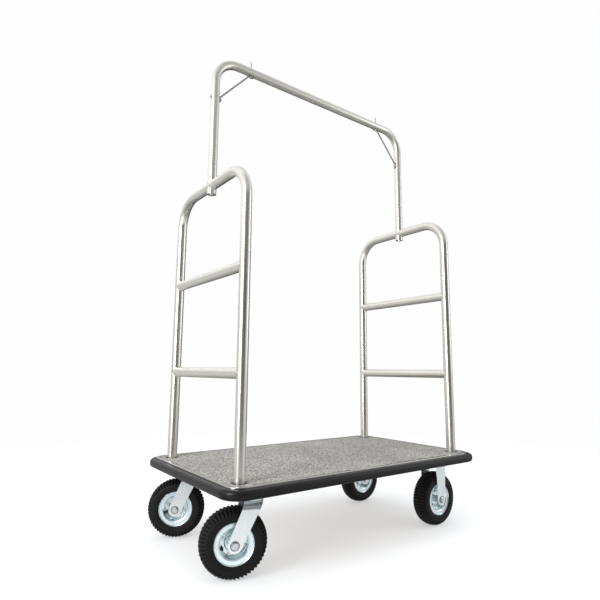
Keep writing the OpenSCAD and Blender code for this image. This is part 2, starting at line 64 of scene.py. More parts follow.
def placeCamera(s):
    yaw, pitch, roll = (math.radians(s[k]) for k in ("yaw", "pitch", "roll"))
    ahead = Vector((math.sin(yaw) * math.cos(pitch), math.cos(yaw) * math.cos(pitch), math.sin(pitch)))
    right = Vector((math.cos(yaw), -math.sin(yaw), 0))
    up = right.cross(ahead)
    right2 = math.cos(roll) * right + math.sin(roll) * up
    up2 = math.cos(roll) * up - math.sin(roll) * right
    cam = bpy.data.objects.new("camera", bpy.data.cameras.new("camera"))
    cam.data.lens = s["lens"]
    cam.data.clip_end = s["sees"]
    turn = Matrix((right2, up2, -ahead)).transposed().to_4x4()
    cam.matrix_world = Matrix.Translation(s["place"]) @ turn
    scene.collection.objects.link(cam)
    scene.camera = cam
    return ahead, right


ahead, rightward = placeCamera(cameraSet)
print("camera placed")

# Studio: reflections see a dim room with broad soft screens round the cart and a pale ceiling,
# dull surfaces get one even level from all round, and the camera sees plain white
studioSet = {
    "room": (0.96, 0.965, 0.97),
    "roomLevel": 0.06,
    "ground": (-0.75, -0.30, 0.34),  # full, ends at this share of straight down, level
    "farFloor": (12, 46, -0.19, -0.29, 1.38),  # bearing, half width, starts, full, level
    "highLeft": (-112, 66, 0.02, 0.34, 1.12),  # bearing, half width, starts, full, level
    "lowRight": (42, 42, 0.42),  # bearing, half width, share of the ceiling's light lost there
    "evenLevel": 0.95,  # what dull surfaces receive from all round
    "backdrop": (0.99, 0.991, 0.992),  # what the camera sees behind the cart
    "softSide": (1.5, 0.5),  # a screen has faded out, and is full, at these shares of its half width
    "screens": [  # bearing from the camera's side of the cart, half width in degrees, level
        (-106, 50, 0.72),
        (-38, 15, 1.35),
        (89, 31, 0.74),
    ],
    "ceiling": (0.16, 0.60, 0.92),  # starts, full at this share of straight up, level
    "panels": [  # bearing, distance, height, width, tall, power, aims at height
        (-39, 3.2, 1.5, 1.0, 2.2, 64, 0.6),
        (88, 3.6, 1.9, 1.0, 2.4, 13, 0.9),
    ],
    "top": (3.6, 2.6, 4.2, 30),  # length, width, height, power
}


def bearing(deg):
    # Level direction at an angle from the cart-to-camera line, turning to the camera's right
    a = math.radians(deg)
    flat = Vector((ahead.x, ahead.y, 0)).normalized()
    return -flat * math.cos(a) + rightward * math.sin(a)


def link(nodes, source, target):
    nodes.id_data.links.new(source, target)


def feed(nodes, socket, value):
    # A number is set on the socket, and another node's output is linked to it
    if isinstance(value, (int, float)):
        socket.default_value = value
    else:
        link(nodes, value, socket)


def mathNode(nodes, kind, a, b):
    n = nodes.new("ShaderNodeMath")
    n.operation = kind
    for socket, v in zip(n.inputs, (a, b)):
        feed(nodes, socket, v)
    return n.outputs[0]


def weighted(nodes, *parts):
    # The sum of the values, each times its share
    total = None
    for value, share in parts:
        part = mathNode(nodes, "MULTIPLY", value, share)
        total = part if total is None else mathNode(nodes, "ADD", total, part)
    return total


def vectorMath(nodes, kind, a, b=None):
    n = nodes.new("ShaderNodeVectorMath")
    n.operation = kind
    link(nodes, a, n.inputs[0])
    if isinstance(b, tuple):
        n.inputs[1].default_value = b
    elif b is not None:
        link(nodes, b, n.inputs[1])
    return n


def heightOf(nodes, vector):
    split = nodes.new("ShaderNodeSeparateXYZ")
    link(nodes, vector, split.inputs[0])
    return split.outputs["Z"]


def mapped(nodes, value, toLow, toHigh, fromLow=0.0, fromHigh=1.0):
    r = nodes.new("ShaderNodeMapRange")
    ends = {"Value": value, "From Min": fromLow, "From Max": fromHigh, "To Min": toLow, "To Max": toHigh}
    for key, v in ends.items():
        feed(nodes, r.inputs[key], v)
    return r.outputs["Result"]


def softRamp(nodes, value, starts, full, top, bottom=0.0):
    # A smooth step from bottom to top
    ramp = nodes.new("ShaderNodeMapRange")
    ramp.interpolation_type = "SMOOTHSTEP"
    link(nodes, value, ramp.inputs["Value"])
    for key, v in (("From Min", starts), ("From Max", full), ("To Min", bottom), ("To Max", top)):
        ramp.inputs[key].default_value = v
    return ramp.outputs["Result"]


def screenMask(nodes, direction, deg, half):
    # One where the direction points at the screen, fading to none at its sides
    d = bearing(deg)
    facing = vectorMath(nodes, "DOT_PRODUCT", direction, (d.x, d.y, 0)).outputs["Value"]
    gone, full = (math.cos(math.radians(half * share)) for share in studioSet["softSide"])
    return softRamp(nodes, facing, gone, full, 1.0)


def levelOnly(nodes, direction):
    # The direction with its height left out
    flat = vectorMath(nodes, "MULTIPLY", direction, (1, 1, 0)).outputs["Vector"]
    return vectorMath(nodes, "NORMALIZE", flat).outputs["Vector"]


def hangLamp(name, place, wide, tall, power):
    lamp = bpy.data.lights.new(name, "AREA")
    lamp.shape = "RECTANGLE"
    lamp.size = wide
    lamp.size_y = tall
    lamp.energy = power
    o = bpy.data.objects.new(name, lamp)
    o.location = place
    scene.collection.objects.link(o)
    return o


def reflectedLevel(nodes, direction, s):
    # The brightest of the screens, ceiling and slopes in each direction, giving way to the ground low down
    high = heightOf(nodes, direction)
    flat = levelOnly(nodes, direction)
    level = None
    for deg, half, bright in s["screens"]:
        mask = mathNode(nodes, "MULTIPLY", screenMask(nodes, direction, deg, half), bright)
        level = mask if level is None else mathNode(nodes, "MAXIMUM", level, mask)
    deg, half, share = s["lowRight"]
    lost = mathNode(nodes, "MULTIPLY", screenMask(nodes, flat, deg, half), share)
    kept = mathNode(nodes, "SUBTRACT", 1.0, lost)
    roof = mathNode(nodes, "MULTIPLY", softRamp(nodes, high, *s["ceiling"]), kept)
    slopes = []
    for deg, half, starts, full, top in (s["highLeft"], s["farFloor"]):
        rise = softRamp(nodes, high, starts, full, top)
        slopes.append(mathNode(nodes, "MULTIPLY", rise, screenMask(nodes, flat, deg, half)))
    for part in (roof, *slopes, s["roomLevel"]):
        level = mathNode(nodes, "MAXIMUM", level, part)
    full, ends, low = s["ground"]
    under = mapped(nodes, high, 1.0, 0.0, full, ends)
    change = mathNode(nodes, "SUBTRACT", low, level)
    return mathNode(nodes, "ADD", level, mathNode(nodes, "MULTIPLY", change, under))


def buildStudio(s):
    world = bpy.data.worlds.new("studio")
    scene.world = world
    world.use_nodes = True
    nodes = world.node_tree.nodes
    nodes.clear()
    out = nodes.new("ShaderNodeOutputWorld")
    direction = nodes.new("ShaderNodeTexCoord").outputs["Generated"]
    path = nodes.new("ShaderNodeLightPath")
    light = nodes.new("ShaderNodeBackground")
    light.inputs["Color"].default_value = (*s["room"], 1)
    even = nodes.new("ShaderNodeMix")
    link(nodes, path.outputs["Is Glossy Ray"], even.inputs["Factor"])
    even.inputs["A"].default_value = s["evenLevel"]
    link(nodes, reflectedLevel(nodes, direction, s), even.inputs["B"])
    link(nodes, even.outputs["Result"], light.inputs["Strength"])
    seen = nodes.new("ShaderNodeBackground")
    seen.inputs["Color"].default_value = (*s["backdrop"], 1)
    mix = nodes.new("ShaderNodeMixShader")
    link(nodes, path.outputs["Is Camera Ray"], mix.inputs[0])
    link(nodes, light.outputs[0], mix.inputs[1])
    link(nodes, seen.outputs[0], mix.inputs[2])
    link(nodes, mix.outputs[0], out.inputs["Surface"])
    for i, (deg, far, high, wide, tall, power, aim) in enumerate(s["panels"]):
        panel = hangLamp(f"panel{i}", bearing(deg) * far + Vector((0, 0, high)), wide, tall, power)
        towards = Vector((0, 0, aim)) - panel.location
        panel.rotation_euler = towards.to_track_quat("-Z", "Y").to_euler()
    length, width, height, power = s["top"]
    hangLamp("overhead", (0, 0, height), length, width, power).visible_glossy = False
    scene.view_settings.view_transform = "Standard"


buildStudio(studioSet)
print("studio lit")


# Surfaces as grids

def meshObject(name, points, faces, smooth=True):
    mesh = bpy.data.meshes.new(name)
    mesh.from_pydata(points, [], faces)
    mesh.validate()
    mesh.polygons.foreach_set("use_smooth", np.full(len(mesh.polygons), smooth))
    mesh.update()
    o = bpy.data.objects.new(name, mesh)
    scene.collection.objects.link(o)
    return o


def gridFaces(rows, cols, wrapRows=False, wrapCols=False):
    # Quads between neighbouring rows and columns, joining the last to the first where they wrap
    ids = np.arange(rows * cols).reshape(rows, cols)
    down = np.roll(ids, -1, 0) if wrapRows else ids[1:]
    top = ids if wrapRows else ids[:-1]
    left = lambda g: g if wrapCols else g[:, :-1]
    right = lambda g: np.roll(g, -1, 1) if wrapCols else g[:, 1:]
    return np.stack([left(top), left(down), right(down), right(top)], -1).reshape(-1, 4)


def smoothStep(low, high, x):
    t = np.clip((x - low) / (high - low), 0, 1)
    return t * t * (3 - 2 * t)


def wave(phase, width, soft):
    # One inside a bar of the given share of each turn, falling to none at its soft sides
    off = np.abs((phase % 1) - 0.5)
    return 1 - smoothStep(width / 2 - soft, width / 2 + soft, off)


# Materials

def startMaterial(name):
    m = bpy.data.materials.new(name)
    m.use_nodes = True
    nodes = m.node_tree.nodes
    return m, nodes, nodes["Principled BSDF"]


def newGroup(name, inputs, outputs):
    g = bpy.data.node_groups.new(name, "ShaderNodeTree")
    for label, kind, value in inputs:
        s = g.interface.new_socket(label, in_out="INPUT", socket_type=kind)
        if value is not None:
            s.default_value = value
    for label, kind in outputs:
        g.interface.new_socket(label, in_out="OUTPUT", socket_type=kind)
    return g, g.nodes.new("NodeGroupInput"), g.nodes.new("NodeGroupOutput")


def noise(nodes, vector, scale, detail=3.0, rough=0.5):
    n = nodes.new("ShaderNodeTexNoise")
    link(nodes, vector, n.inputs["Vector"])
    feed(nodes, n.inputs["Scale"], scale)
    n.inputs["Detail"].default_value = detail
    n.inputs["Roughness"].default_value = rough
    return n.outputs["Fac"]


def mixColour(nodes, factor, a, b):
    n = nodes.new("ShaderNodeMix")
    n.data_type = "RGBA"
    link(nodes, factor, n.inputs["Factor"])
    for key, v in (("A", a), ("B", b)):
        socket = [i for i in n.inputs if i.name == key and i.type == "RGBA"][0]
        if isinstance(v, tuple):
            socket.default_value = (*v, 1) if len(v) == 3 else v
        else:
            link(nodes, v, socket)
    return [o for o in n.outputs if o.type == "RGBA"][0]


def brushGroup():
    # Fine scratches drawn out along one direction, with a slow drift of shade
    g, gin, gout = newGroup("brushing", [
        ("Vector", "NodeSocketVector", None),
        ("Stretch", "NodeSocketVector", (900, 900, 14)),
        ("Light", "NodeSocketColor", (0.8, 0.79, 0.77, 1)),
        ("Dark", "NodeSocketColor", (0.68, 0.67, 0.65, 1)),
        ("Smooth", "NodeSocketFloat", 0.2),
        ("Rough", "NodeSocketFloat", 0.36),
    ], [("Colour", "NodeSocketColor"), ("Roughness", "NodeSocketFloat"), ("Height", "NodeSocketFloat")])
    n = g.nodes
    stretched = vectorMath(n, "MULTIPLY", gin.outputs["Vector"], gin.outputs["Stretch"]).outputs["Vector"]
    hair = noise(n, stretched, 1.0, detail=4.0, rough=0.62)
    drift = noise(n, gin.outputs["Vector"], 9.0, detail=3.0, rough=0.55)
    both = weighted(n, (hair, 0.5), (drift, 0.5))
    spread = mapped(n, both, 0.0, 1.0, fromLow=0.3, fromHigh=0.7)
    link(n, mixColour(n, spread, gin.outputs["Dark"], gin.outputs["Light"]), gout.inputs["Colour"])
    shine = mapped(n, both, gin.outputs["Rough"], gin.outputs["Smooth"], fromLow=0.3, fromHigh=0.7)
    link(n, shine, gout.inputs["Roughness"])
    link(n, hair, gout.inputs["Height"])
    return g


def speckleGroup():
    # Two sizes of noise: a fine grain over a slow patchiness
    g, gin, gout = newGroup("speckle", [
        ("Vector", "NodeSocketVector", None),
        ("Fine", "NodeSocketFloat", 900.0),
        ("Slow", "NodeSocketFloat", 12.0),
        ("Light", "NodeSocketColor", (0.6, 0.6, 0.6, 1)),
        ("Dark", "NodeSocketColor", (0.3, 0.3, 0.3, 1)),
        ("Smooth", "NodeSocketFloat", 0.3),
        ("Rough", "NodeSocketFloat", 0.6),
    ], [("Colour", "NodeSocketColor"), ("Roughness", "NodeSocketFloat"), ("Height", "NodeSocketFloat")])
    n = g.nodes
    fine = noise(n, gin.outputs["Vector"], gin.outputs["Fine"], detail=3.0, rough=0.6)
    slow = noise(n, gin.outputs["Vector"], gin.outputs["Slow"], detail=4.0, rough=0.55)
    both = weighted(n, (fine, 0.5), (slow, 0.5))
    spread = mapped(n, both, 0.0, 1.0, fromLow=0.33, fromHigh=0.67)
    link(n, mixColour(n, spread, gin.outputs["Dark"], gin.outputs["Light"]), gout.inputs["Colour"])
    shine = mapped(n, slow, gin.outputs["Smooth"], gin.outputs["Rough"], fromLow=0.3, fromHigh=0.7)
    link(n, shine, gout.inputs["Roughness"])
    link(n, fine, gout.inputs["Height"])
    return g


brushing = brushGroup()
speckle = speckleGroup()


def placeGroup(nodes, group, vector, values):
    n = nodes.new("ShaderNodeGroup")
    n.node_tree = group
    link(nodes, vector, n.inputs["Vector"])
    for key, v in values.items():
        if isinstance(v, tuple) and n.inputs[key].type == "RGBA":
            v = (*v, 1)
        n.inputs[key].default_value = v
    return n


def finishSurface(nodes, shader, colour, rough, height, bump, deep):
    link(nodes, colour, shader.inputs["Base Color"])
    link(nodes, rough, shader.inputs["Roughness"])
    b = nodes.new("ShaderNodeBump")
    b.inputs["Strength"].default_value = bump
    b.inputs["Distance"].default_value = deep
    link(nodes, height, b.inputs["Height"])
    link(nodes, b.outputs[0], shader.inputs["Normal"])


def objectVector(nodes):
    return nodes.new("ShaderNodeTexCoord").outputs["Object"]


tubeSteel = {
    "light": (0.85, 0.828, 0.77),
    "dark": (0.76, 0.738, 0.68),
    "smooth": 0.26,
    "rough": 0.31,
    "bump": 0.006,
    "deep": 0.0002,
    "along": 12,  # scratches per metre, along and across the brushing
    "across": 900,
    "turnsOver": 0.02,  # metres either side of the height where the brushing turns
}
railSteel = {**tubeSteel, "smooth": 0.32, "rough": 0.42}
trimMetal = {
    **tubeSteel,
    "light": (0.60, 0.59, 0.57),
    "dark": (0.46, 0.45, 0.43),
    "smooth": 0.22,
    "rough": 0.34,
    "bump": 0.06,
}


def steelMaterial(name, s, along, second=None, turnHeight=None):
    # Brushing along one axis; a bent tube turns to a second axis above a height
    m, nodes, shader = startMaterial(name)
    vector = objectVector(nodes)
    common = {"Light": s["light"], "Dark": s["dark"], "Smooth": s["smooth"], "Rough": s["rough"]}

    def brushed(axis):
        stretch = tuple(s["along"] if a == axis else s["across"] for a in "xyz")
        group = placeGroup(nodes, brushing, vector, {"Stretch": stretch, **common})
        return [group.outputs[k] for k in ("Colour", "Roughness", "Height")]

    colour, rough, height = brushed(along)
    if second:
        colour2, rough2, height2 = brushed(second)
        starts, ends = turnHeight - s["turnsOver"], turnHeight + s["turnsOver"]
        up = mapped(nodes, heightOf(nodes, vector), 0.0, 1.0, fromLow=starts, fromHigh=ends)
        down = mathNode(nodes, "SUBTRACT", 1.0, up)
        colour = mixColour(nodes, up, colour, colour2)
        rough = weighted(nodes, (rough, down), (rough2, up))
        height = weighted(nodes, (height, down), (height2, up))
    shader.inputs["Metallic"].default_value = 1.0
    finishSurface(nodes, shader, colour, rough, height, s["bump"], s["deep"])
    return m


def speckleMaterial(name, s):
    m, nodes, shader = startMaterial(name)
    g = placeGroup(nodes, speckle, objectVector(nodes), {
        "Fine": s["fine"], "Slow": s["slow"], "Light": s["light"], "Dark": s["dark"],
        "Smooth": s["smooth"], "Rough": s["rough"]})
    colour, rough, height = (g.outputs[k] for k in ("Colour", "Roughness", "Height"))
    shader.inputs["Metallic"].default_value = s.get("metallic", 0.0)
    shader.inputs["Specular IOR Level"].default_value = s.get("gloss", 0.5)
    finishSurface(nodes, shader, colour, rough, height, s["bump"], s["deep"])
    return m


finishes = {
    "zincFork": {
        "light": (0.95, 0.985, 0.995), "dark": (0.78, 0.845, 0.875), "fine": 420.0, "slow": 11.0,
        "smooth": 0.2, "rough": 0.31, "bump": 0.03, "deep": 0.0003, "metallic": 0.84,
    },
    "zincRim": {
        "light": (0.88, 0.985, 1.0), "dark": (0.75, 0.88, 0.93), "fine": 500.0, "slow": 22.0,
        "smooth": 0.2, "rough": 0.3, "bump": 0.02, "deep": 0.0003, "metallic": 0.88,
    },
    "platedBolt": {
        "light": (0.80, 0.80, 0.79), "dark": (0.60, 0.60, 0.60), "fine": 700.0, "slow": 60.0,
        "smooth": 0.2, "rough": 0.38, "bump": 0.08, "deep": 0.0002, "metallic": 1.0,
    },
    "axlePlate": {
        "light": (0.86, 0.89, 0.90), "dark": (0.70, 0.73, 0.75), "fine": 500.0, "slow": 70.0,
        "smooth": 0.24, "rough": 0.38, "bump": 0.08, "deep": 0.0002, "metallic": 1.0,
    },
    "braceSteel": {
        "light": (0.42, 0.415, 0.40), "dark": (0.30, 0.295, 0.285), "fine": 500.0, "slow": 60.0,
        "smooth": 0.38, "rough": 0.5, "bump": 0.04, "deep": 0.0002, "metallic": 1.0,
    },
    "weldSteel": {
        "light": (0.80, 0.79, 0.76), "dark": (0.62, 0.61, 0.58), "fine": 500.0, "slow": 90.0,
        "smooth": 0.26, "rough": 0.42, "bump": 0.15, "deep": 0.0003, "metallic": 1.0,
    },
    # Painted shade: a near-black ring round each axle head stands for the shadowed gap there
    "paintedGapShade": {
        "light": (0.22, 0.235, 0.25), "dark": (0.13, 0.14, 0.15), "fine": 600.0, "slow": 80.0,
        "smooth": 0.35, "rough": 0.5, "bump": 0.08, "deep": 0.0002, "metallic": 0.9,
    },
    "blackFrame": {
        "light": (0.035, 0.035, 0.037), "dark": (0.018, 0.018, 0.019), "fine": 600.0, "slow": 10.0,
        "smooth": 0.34, "rough": 0.5, "bump": 0.25, "deep": 0.0005,
    },
    "bumperRubber": {
        "light": (0.0095, 0.0090, 0.0102), "dark": (0.005, 0.005, 0.0058), "fine": 800.0, "slow": 9.0,
        "smooth": 0.26, "rough": 0.37, "bump": 0.1, "deep": 0.0003, "gloss": 0.26,
    },
    "tyreRubber": {
        "light": (0.0065, 0.0065, 0.0070), "dark": (0.0028, 0.0028, 0.0031), "fine": 700.0, "slow": 25.0,
        "smooth": 0.42, "rough": 0.6, "bump": 0.3, "deep": 0.0005, "gloss": 0.25,
    },
    "valveRubber": {
        "light": (0.03, 0.03, 0.03), "dark": (0.015, 0.015, 0.015), "fine": 900.0, "slow": 60.0,
        "smooth": 0.45, "rough": 0.6, "bump": 0.1, "deep": 0.0002,
    },
}
materials = {name: speckleMaterial(name, s) for name, s in finishes.items()}
bendSet = {"hoop": 0.075, "rail": 0.06}  # how far below the top each bent tube's brushing turns
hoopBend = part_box("left_hoop")[1].z - bendSet["hoop"]
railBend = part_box("garment_rail")[1].z - bendSet["rail"]
materials["hoopSteel"] = steelMaterial("hoopSteel", tubeSteel, "z", "y", hoopBend)
materials["railSteel"] = steelMaterial("railSteel", railSteel, "z", "x", railBend)
materials["barSteel"] = steelMaterial("barSteel", tubeSteel, "y")
materials["stubSteel"] = steelMaterial("stubSteel", tubeSteel, "z")
materials["trimSteel"] = steelMaterial("trimSteel", trimMetal, "x")

plywoodSet = {
    "light": (0.47, 0.36, 0.235),
    "dark": (0.31, 0.22, 0.135),
    "grain": (3, 42, 60),  # cells per metre
    "fibre": (25, 900, 900),
    "ply": 1.6e-3,
    "bump": 0.2,
    "deep": 0.0004,
}


def stretchedNoise(nodes, vector, stretch, scale, detail, rough):
    mapping = nodes.new("ShaderNodeMapping")
    link(nodes, vector, mapping.inputs["Vector"])
    mapping.inputs["Scale"].default_value = stretch
    return noise(nodes, mapping.outputs[0], scale, detail, rough)


def plywoodMaterial(s):
    # Long wavy grain along the cart, with thin plies on the cut edges
    m, nodes, shader = startMaterial("plywood")
    vector = objectVector(nodes)
    grain = stretchedNoise(nodes, vector, s["grain"], 1.6, detail=6.0, rough=0.6)
    hair = stretchedNoise(nodes, vector, s["fibre"], 1.0, detail=3.0, rough=0.6)
    ply = mathNode(nodes, "PINGPONG", heightOf(nodes, vector), s["ply"])
    layer = mapped(nodes, ply, 0.0, 0.25, fromHigh=s["ply"])
    tone = mathNode(nodes, "ADD", weighted(nodes, (grain, 0.7), (hair, 0.3)), layer)
    spread = mapped(nodes, tone, 0.0, 1.0, fromLow=0.3, fromHigh=0.85)
    colour = mixColour(nodes, spread, s["dark"], s["light"])
    rough = mapped(nodes, hair, 0.5, 0.75)
    finishSurface(nodes, shader, colour, rough, hair, s["bump"], s["deep"])
    return m


materials["plywood"] = plywoodMaterial(plywoodSet)

finishOf = {
    "hoopSteel": ["left_hoop", "right_hoop"],
    "railSteel": ["garment_rail"],
    "barSteel": ["left_lower_bar", "left_upper_bar", "right_lower_bar", "right_upper_bar"],
    "stubSteel": ["rail_stubs", "stub_caps"],
    "braceSteel": ["left_brace", "right_brace"],
    "trimSteel": ["edge_trim"],
    "bumperRubber": ["edge_bumper"],
    "plywood": ["deck_board"],
    "blackFrame": ["side_rails", "cross_members", "tube_plugs"],
    "zincFork": ["swivel_plates", *(f"{w}_fork" for w in wheels)],
    "zincRim": [f"{w}_{part}" for w in wheels for part in ("rim", "hub")],
    "axlePlate": ["rigid_axles", "left_front_axle", "left_back_axle"],
    "valveRubber": [f"{w}_valve" for w in wheels],
}
finishByNode = {node: name for name, nodes in finishOf.items() for node in nodes}
for node, o in frame["nodes"].items():
    finish = materials[finishByNode.get(node, "platedBolt")]
    if not o.data.materials:
        o.data.materials.append(finish)
    for slot in o.material_slots:
        slot.material = finish
print("CAD pieces finished:", len(frame["nodes"]))


# Tyres: a squarish section with staggered tread blocks and shoulder bars
tyreSet = {
    "square": 2.4,
    "lugs": 52,
    "perLug": 10,
    "shoulderDeep": 0.0068,
    "centreDeep": 0.0054,
    "around": 80,
    "beadHalf": 0.0242,
    "seat": 0.0497,
    "flange": 0.0672,
    "lip": (0.0008, 0.003),  # the bead's outer corner: in from the flange's radius, out past the bead
    "toe": (0.001, 0.002),  # its inner corner: out from the seat, in from the bead
    "ribs": [(0.0745, 0.0006), (0.0835, 0.0004)],  # radius and height of the rings on the side wall
    "ribWide": 0.0011,
    "ribsFrom": 0.02,  # distance from the wheel's middle plane past which they stand
    "half": 0.036,  # half the tyre's width
    "inset": 0.0001,
    "deepest": (0.078, 0.9),  # the grooves point towards this radius, their offset shrunk by this share
    # Below, widths are shares of a lug's pitch, and distances across are shares of the half width
    "bar": {"slant": 0.12, "wide": 0.53, "soft": 0.10},
    "block": {"slants": (0.35, 0.65), "wide": 0.60, "soft": 0.10},
    "middleRib": (0.05, 0.11),
    "middleFilled": 0.6,  # share of the depth filled in along the middle rib
    "groove": (0.30, 0.35, 0.40, 0.45),
    "grooveSwing": 0.05,
    "grooveDeep": 0.7,  # share of the centre depth
    "centreEnds": (0.34, 0.40),
    "shoulderStarts": (0.38, 0.43),
    "shoulderFades": (0.021, 0.013),  # metres in from the outer radius
    "treadTall": 0.022,
}


def tyreSection(s, outer, half):
    # Closed section: foot on the seat, bead side, shelf over the rim flange,
    # then a super-ellipse over the crown
    mid = (outer + s["seat"]) / 2 + s["inset"]
    tall = outer - mid
    power = 2 / s["square"]
    start = math.acos(-((mid - s["flange"]) / tall) ** (1 / power))
    a = np.linspace(-start, start, s["around"])
    fold = lambda c: np.sign(c) * np.abs(c) ** power
    r = mid + tall * fold(np.cos(a))
    y = half * fold(np.sin(a))
    flange, seat, bead = s["flange"], s["seat"], s["beadHalf"]
    lipR, lipY = s["lip"]
    toeR, toeY = s["toe"]
    footR = np.array([flange, flange - lipR, seat + toeR, seat])
    footY = np.array([bead + lipY, bead, bead, bead - toeY])
    return np.concatenate([r, footR, footR[::-1]]), np.concatenate([y, footY, -footY[::-1]])


def treadDepth(s, turn, r, y, half, outer):
    # Depth of the grooves: slanted bars over each shoulder, and blocks in the centre,
    # slanted differently on each side of a middle rib, between two wavy grooves
    across = np.abs(y) / half
    phase = turn * s["lugs"]
    bar = wave(phase + s["bar"]["slant"] * across, s["bar"]["wide"], s["bar"]["soft"])
    slant = np.where(y > 0, *s["block"]["slants"])
    block = wave(phase + slant * across, s["block"]["wide"], s["block"]["soft"])
    rib = 1 - smoothStep(*s["middleRib"], across)
    swung = across - s["grooveSwing"] * np.cos(2 * np.pi * phase)
    gap = smoothStep(*s["groove"][:2], swung) * (1 - smoothStep(*s["groove"][2:], swung))
    fadeLow, fadeHigh = (outer - f for f in s["shoulderFades"])
    onShoulder = smoothStep(*s["shoulderStarts"], across) * smoothStep(fadeLow, fadeHigh, r)
    shoulder = s["shoulderDeep"] * (1 - bar) * onShoulder
    inCentre = (1 - rib * s["middleFilled"]) * (1 - smoothStep(*s["centreEnds"], across))
    centre = s["centreDeep"] * (1 - block) * inCentre
    groove = s["grooveDeep"] * s["centreDeep"] * gap
    deepest = np.maximum(np.maximum(shoulder, centre), groove)
    return np.where(r > outer - s["treadTall"], deepest, 0)


def wheelPlace(which):
    # The wheel's centre, its axle's direction and its outer radius
    low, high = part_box(f"{which}_tyre")
    axis = Vector(joints[f"{which}_wheel_spin"]["axis"]).normalized()
    return (low + high) / 2, axis, (high.z - low.z) / 2


def buildTyre(which, s):
    # A point is the wheel centre plus the section's radius turned about the axle and its offset along it
    centre, axis, outer = wheelPlace(which)
    half = s["half"]
    up = Vector((0, 0, 1))
    front = axis.cross(up)
    r, y = tyreSection(s, outer - s["inset"], half - s["inset"])
    steps = s["lugs"] * s["perLug"]
    turn = np.arange(steps) / steps
    t, rr = np.meshgrid(turn, r, indexing="ij")
    yy = np.broadcast_to(y, t.shape)
    deep = treadDepth(s, t, rr, yy, half, outer)
    for ring, rise in s["ribs"]:
        crest = rise * np.exp(-(((rr - ring) / s["ribWide"]) ** 2))
        deep = deep + np.where(np.abs(yy) > s["ribsFrom"], crest, 0)
    radius, share = s["deepest"]
    inward = np.stack([rr - radius, yy * share], -1)
    inward /= np.linalg.norm(inward, axis=-1, keepdims=True)
    rr = rr - deep * inward[..., 0]
    yy = yy - deep * inward[..., 1]
    angle = 2 * np.pi * t
    p = (np.array(centre) + yy[..., None] * np.array(axis)
         + (rr * np.cos(angle))[..., None] * np.array(front)
         + (rr * np.sin(angle))[..., None] * np.array(up))
    o = meshObject(f"{which}_tread_tyre", p.reshape(-1, 3), gridFaces(*p.shape[:2], True, True))
    fixNormals(o)
    o.data.materials.append(materials["tyreRubber"])
    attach(o, f"{which}_wheel")
    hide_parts(f"{which}_tyre")


def fixNormals(o, merge=1e-7):
    bm = bmesh.new()
    bm.from_mesh(o.data)
    bmesh.ops.remove_doubles(bm, verts=bm.verts, dist=merge)
    bmesh.ops.recalc_face_normals(bm, faces=bm.faces)
    bm.to_mesh(o.data)
    bm.free()


for which in wheels:
    buildTyre(which, tyreSet)
print("tyres built")

# Carpet: short pile with a soft rolled edge, cut round the uprights
carpetSet = {
    "pitch": 0.0042,
    "pile": 0.0009,
    "edge": 0.0035,
    "edgeDrop": 0.0016,
    "corner": 0.035,
    "hole": 0.025,
    "postHalf": 0.019,
    "tufts": [(0.0065, 3, 0.6), (0.013, 4, 0.4)],  # cell, seed, share of the pile
    "slow": (0.11, 5, 0.0003),  # cell, seed, height
    "shift": 2,  # metres, which keeps the pattern's places positive
    "inset": 0.0001,
    "light": (0.432, 0.411, 0.370),
    "dark": (0.016, 0.015, 0.014),
    "yarn": 174.0,  # cells per metre
    "fibre": 1500.0,
    "tuft": 260.0,
    "patch": 5.0,
    "bump": 0.55,
    "deep": 0.0012,
    "sheen": (0.25, 0.6),  # weight, roughness
    "gloss": 0.2,
}


def valueNoise(x, y, cell, seed):
    # Smooth blend of fixed random values at the corners of square cells
    rng = np.random.default_rng(seed)
    table = rng.random((257, 257))
    gx, gy = x / cell, y / cell
    ix, iy = np.floor(gx).astype(int), np.floor(gy).astype(int)
    fx, fy = gx - ix, gy - iy
    fx, fy = fx * fx * (3 - 2 * fx), fy * fy * (3 - 2 * fy)
    at = lambda a, b: table[a % 257, b % 257]
    top = at(ix, iy) * (1 - fx) + at(ix + 1, iy) * fx
    low = at(ix, iy + 1) * (1 - fx) + at(ix + 1, iy + 1) * fx
    return top * (1 - fy) + low * fy


def carpetGrid(s, halfX, halfY, postX, postY):
    # A level grid with its outer corners and its holes rounded by moving points onto their arcs
    corner, hole = s["corner"], s["hole"]
    nx, ny = int(2 * halfX / s["pitch"]) | 1, int(2 * halfY / s["pitch"]) | 1
    x, y = np.meshgrid(np.linspace(-halfX, halfX, nx), np.linspace(-halfY, halfY, ny), indexing="ij")
    cx, cy = np.abs(x) - (halfX - corner), np.abs(y) - (halfY - corner)
    inCorner = (cx > 0) & (cy > 0)
    pull = np.where(inCorner, np.maximum(cx, cy) / np.maximum(np.hypot(cx, cy), 1e-9), 1)
    x = np.where(inCorner, np.sign(x) * (halfX - corner + cx * pull), x)
    y = np.where(inCorner, np.sign(y) * (halfY - corner + cy * pull), y)
    dx, dy = np.abs(x) - postX, np.abs(y) - postY
    d = np.hypot(dx, dy)
    inside = d < hole
    push = np.where(inside, hole / np.maximum(d, 1e-6), 1)
    outX, outY = np.sign(x) * (postX + dx * push), np.sign(y) * (postY + dy * push)
    faces = gridFaces(nx, ny)
    faces = faces[~inside.ravel()[faces].all(axis=1)]
    return np.where(inside, outX, x), np.where(inside, outY, y), faces


